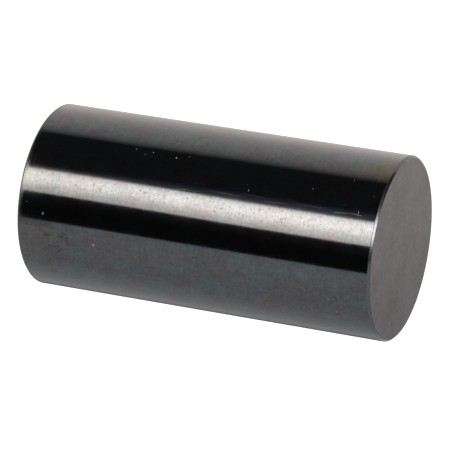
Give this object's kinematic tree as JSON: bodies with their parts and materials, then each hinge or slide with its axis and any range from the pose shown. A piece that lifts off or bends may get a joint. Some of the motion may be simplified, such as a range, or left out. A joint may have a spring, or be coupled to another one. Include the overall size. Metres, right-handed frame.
{
  "type": "pin gauge",
  "caption": "Plain cylindrical pin gauge of hardened steel with a black-oxide skin, flat square ends and a small chamfered edge at each end, for checking hole sizes.",
  "frame": {"origin": "centre of the lower end face, on the pin's axis", "axes": "+Z along the pin's axis from the lower to the upper end face; X and Y are free, because the pin is round"},
  "size_m": [0.0252, 0.0252, 0.0508],
  "materials": {
    "black_oxide_steel": "ground and lapped, glossy black oxide on the side and the chamfers, dull grey on the end faces"
  },
  "bodies": {
    "root": {"gauge_pin": "black_oxide_steel"}
  },
  "joints": []
}
